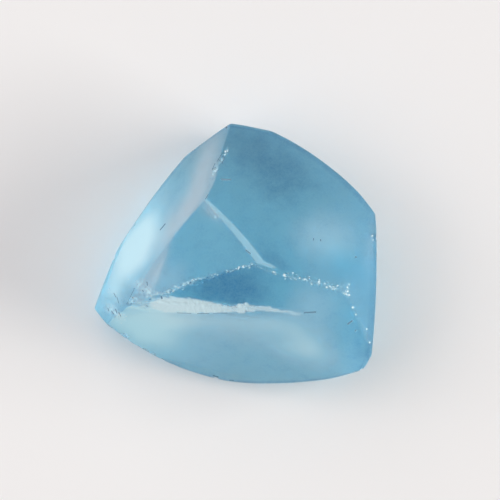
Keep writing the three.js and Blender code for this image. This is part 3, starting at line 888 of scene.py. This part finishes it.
class StoneLook(bpy.types.PropertyGroup):
    """Colours and finish of the stone."""

    body_colour: FloatVectorProperty(
        name="Body colour", description="Colour of the absorption inside", default=(0, 0.78, 0.975),
        subtype="COLOR",
    )
    body_density: FloatProperty(name="Body density", description="Absorption per metre", default=100)
    skin_tint: FloatVectorProperty(
        name="Skin tint", description="Tint of the ground skin", default=(0.95, 0.99, 1), subtype="COLOR"
    )
    crushed_tint: FloatVectorProperty(
        name="Crushed tint", description="Colour of crushed skin", default=(0.62, 0.91, 1), subtype="COLOR"
    )
    # Colour of the painted glow, laid on as milky skin.
    painted_glow_tint: FloatVectorProperty(
        name="Milk tint", description="Colour of milky skin", default=(0.6, 0.9, 1), subtype="COLOR"
    )
    # Tint of the painted shade, in the zones below 0 and along the rim.
    painted_shade_tint: FloatVectorProperty(
        name="Deep tint", description="Tint of the deep zones", default=(0.1, 0.25, 0.45), subtype="COLOR"
    )
    # Tint of the painted colour of light through the stone, in the bluer zones.
    bluer_tint: FloatVectorProperty(
        name="Bluer tint", description="Tint of the bluer zones", default=(0.43, 0.86, 1), subtype="COLOR"
    )
    # Colour of the chalky skin with its painted sheen.
    chalk_and_sheen_tint: FloatVectorProperty(
        name="Chalk tint", description="Colour of chalky skin", default=(0.68, 0.74, 0.78), subtype="COLOR"
    )
    lens_tint: FloatVectorProperty(
        name="Lens tint", description="Colour of the crushed lens", default=(0.7, 0.93, 1), subtype="COLOR"
    )
    # Colour of the painted glints of chips and nicks.
    spark_tint: FloatVectorProperty(
        name="Bright chip tint", description="Colour of the bright chips", default=(0.78, 0.96, 1),
        subtype="COLOR",
    )
    mark_tint: FloatVectorProperty(
        name="Mark tint", description="Colour of the hairs and pits", default=(0.05, 0.15, 0.25),
        subtype="COLOR",
    )
    mottle: FloatProperty(name="Mottle", description="Unevenness of the fine grinding", default=0.7)
    patch: FloatProperty(
        name="Patch", description="Size of the uneven patches", default=0.0007, unit="LENGTH"
    )
    # Spacing of the painted glints of round chips.
    spark: FloatProperty(
        name="Bright chips", description="Spacing of the bright round chips", default=0.00013, unit="LENGTH"
    )
    frost: FloatProperty(name="Frost", description="Roughness of the ground faces", default=0.56)
    fresh_frost: FloatProperty(name="Fresh frost", description="Roughness of fresh chips", default=0.22)
    frost_grain: FloatProperty(
        name="Frost grain", description="Size of the grinding grain", default=0.00012, unit="LENGTH"
    )
    frost_depth: FloatProperty(
        name="Frost depth", description="Depth of the grinding grain", default=0.000008, unit="LENGTH"
    )
    grain: FloatProperty(
        name="Speckle", description="Size of the crushed speckles", default=0.00012, unit="LENGTH"
    )
    cloud: FloatProperty(
        name="Cloud", description="Size of the uneven frosting", default=0.0022, unit="LENGTH"
    )
    ior: FloatProperty(name="IOR", description="Refractive index of topaz", default=1.62)


class StageLook(bpy.types.PropertyGroup):
    """Floor, light and camera."""

    floor_colour: FloatVectorProperty(
        name="Floor", description="Colour of the floor", default=(0.92, 0.9, 0.885), subtype="COLOR"
    )
    surround_colour: FloatVectorProperty(
        name="Surround colour", description="Colour of the pale surroundings", default=(0.985, 0.975, 1),
        subtype="COLOR",
    )
    surround: FloatProperty(name="Surround", description="Brightness of the surroundings", default=0.36)
    key_power: FloatProperty(
        name="Key", description="Power of the low, long light", default=10.8, unit="POWER"
    )
    sky_power: FloatProperty(
        name="Sky", description="Power of the broad high light", default=6.8, unit="POWER"
    )
    side_power: FloatProperty(
        name="Side", description="Power of the weak side light", default=3.4, unit="POWER"
    )


# Distance of each light from the stone (m).
LIGHT_DISTANCE = 1.2
# Azimuth and elevation (degrees), width and height (m) and colour of each light.
KEY = (-3, 23, (1, 0.25), (1, 0.995, 0.955))
SKY = (135, 45, (1.6, 1.6), (1, 0.965, 1))
SIDE = (180, 38, (1.2, 0.9), (1, 1, 1))
# Half width of the floor, its gap below the stone (m), and how rough and how shiny it is.
FLOOR_HALF = 3.0
FLOOR_GAP = 0.00002
FLOOR_ROUGHNESS = 0.9
FLOOR_SHINE = 0.1


def make_floor(look):
    """A wide pale sheet just under the stone."""
    signs = [(-1, -1), (1, -1), (1, 1), (-1, 1)]
    corners = [(x * FLOOR_HALF, y * FLOOR_HALF, -FLOOR_GAP) for x, y in signs]
    mesh = bpy.data.meshes.new("floor")
    mesh.from_pydata(corners, [], [(0, 1, 2, 3)])
    floor = bpy.data.objects.new("floor", mesh)
    bpy.context.scene.collection.objects.link(floor)
    material = bpy.data.materials.new("pale_floor")
    material.use_nodes = True
    skin = material.node_tree.nodes["Principled BSDF"]
    skin.inputs["Base Color"].default_value = (*look.floor_colour, 1)
    skin.inputs["Roughness"].default_value = FLOOR_ROUGHNESS
    skin.inputs["Specular IOR Level"].default_value = FLOOR_SHINE
    mesh.materials.append(material)


def make_light(name, azimuth, elevation, size, colour, power):
    """A soft rectangular light that faces the stone from a direction given in degrees."""
    turn, rise = np.radians([azimuth, elevation])
    way = Vector((np.cos(rise) * np.cos(turn), np.cos(rise) * np.sin(turn), np.sin(rise)))
    lamp = bpy.data.lights.new(name, "AREA")
    lamp.shape, lamp.size, lamp.size_y = "RECTANGLE", *size
    lamp.energy, lamp.color = power, colour
    light = bpy.data.objects.new(name, lamp)
    light.location = way * LIGHT_DISTANCE
    light.rotation_euler = way.to_track_quat("Z", "Y").to_euler()
    bpy.context.scene.collection.objects.link(light)


class TOPAZ_OT_stone(bpy.types.Operator):
    """Make the stone and let it stand for its solid"""

    bl_idname = "topaz.stone"
    bl_label = "Ground stone"

    def execute(self, context):
        points, triangles, cap, masks = stone_surface(context.scene.topaz_size)
        stone = make_mesh("ground_stone", points * MM, [*triangles, *cap], masks)
        stone.data.materials.append(ground_topaz(context.scene.topaz_look))
        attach(stone, "root")
        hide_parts(CAD_NODE)
        return {"FINISHED"}


# Width of the view at the height aimed at, the camera's height, nearest distance and aim (m), and the width
# of its sensor (mm).
FRAME_WIDTH = 0.025
CAMERA_HEIGHT = 0.5
CAMERA_NEAREST = 0.01
CAMERA_AIM = (0.000725, 0.0002, 0.0025)
SENSOR = 36


class TOPAZ_OT_stage(bpy.types.Operator):
    """Make the floor, the light and the camera"""

    bl_idname = "topaz.stage"
    bl_label = "Stage"

    def execute(self, context):
        scene = context.scene
        look = scene.topaz_stage
        scene.view_settings.view_transform = "Standard"
        make_floor(look)
        world = bpy.data.worlds.new("surroundings")
        world.use_nodes = True
        backdrop = world.node_tree.nodes["Background"]
        backdrop.inputs["Color"].default_value = (*look.surround_colour, 1)
        backdrop.inputs["Strength"].default_value = look.surround
        scene.world = world
        make_light("key", *KEY, look.key_power)
        make_light("sky", *SKY, look.sky_power)
        make_light("side", *SIDE, look.side_power)
        optics = bpy.data.cameras.new("camera")
        optics.sensor_width = SENSOR
        optics.lens = SENSOR * (CAMERA_HEIGHT - CAMERA_AIM[2]) / FRAME_WIDTH
        optics.clip_start = CAMERA_NEAREST
        camera = bpy.data.objects.new("camera", optics)
        camera.location = (CAMERA_AIM[0], CAMERA_AIM[1], CAMERA_HEIGHT)
        scene.collection.objects.link(camera)
        scene.camera = camera
        return {"FINISHED"}


class TOPAZ_PT_panel(bpy.types.Panel):
    """Lists the stone and its stage"""

    bl_idname = "TOPAZ_PT_panel"
    bl_label = "Ground topaz"
    bl_space_type = "VIEW_3D"
    bl_region_type = "UI"
    bl_category = "Topaz"

    def draw(self, context):
        scene = context.scene
        for operator, settings in (
            ("topaz.stone", (scene.topaz_size, scene.topaz_look)),
            ("topaz.stage", (scene.topaz_stage,)),
        ):
            self.layout.operator(operator)
            for group in settings:
                for name in group.__annotations__:
                    self.layout.prop(group, name)


GROUPS = {"topaz_size": StoneSize, "topaz_look": StoneLook, "topaz_stage": StageLook}
CLASSES = (*GROUPS.values(), TOPAZ_OT_stone, TOPAZ_OT_stage, TOPAZ_PT_panel)


def register():
    """Register the classes, and hang the settings on the scene."""
    for kind in CLASSES:
        bpy.utils.register_class(kind)
    for name, kind in GROUPS.items():
        setattr(bpy.types.Scene, name, PointerProperty(type=kind))


def unregister():
    """Take the settings and the classes away again."""
    for name in GROUPS:
        delattr(bpy.types.Scene, name)
    for kind in reversed(CLASSES):
        bpy.utils.unregister_class(kind)


def main():
    """Make the stone and its stage."""
    register()
    bpy.ops.topaz.stone()
    bpy.ops.topaz.stage()


if __name__ == "__main__":
    main()
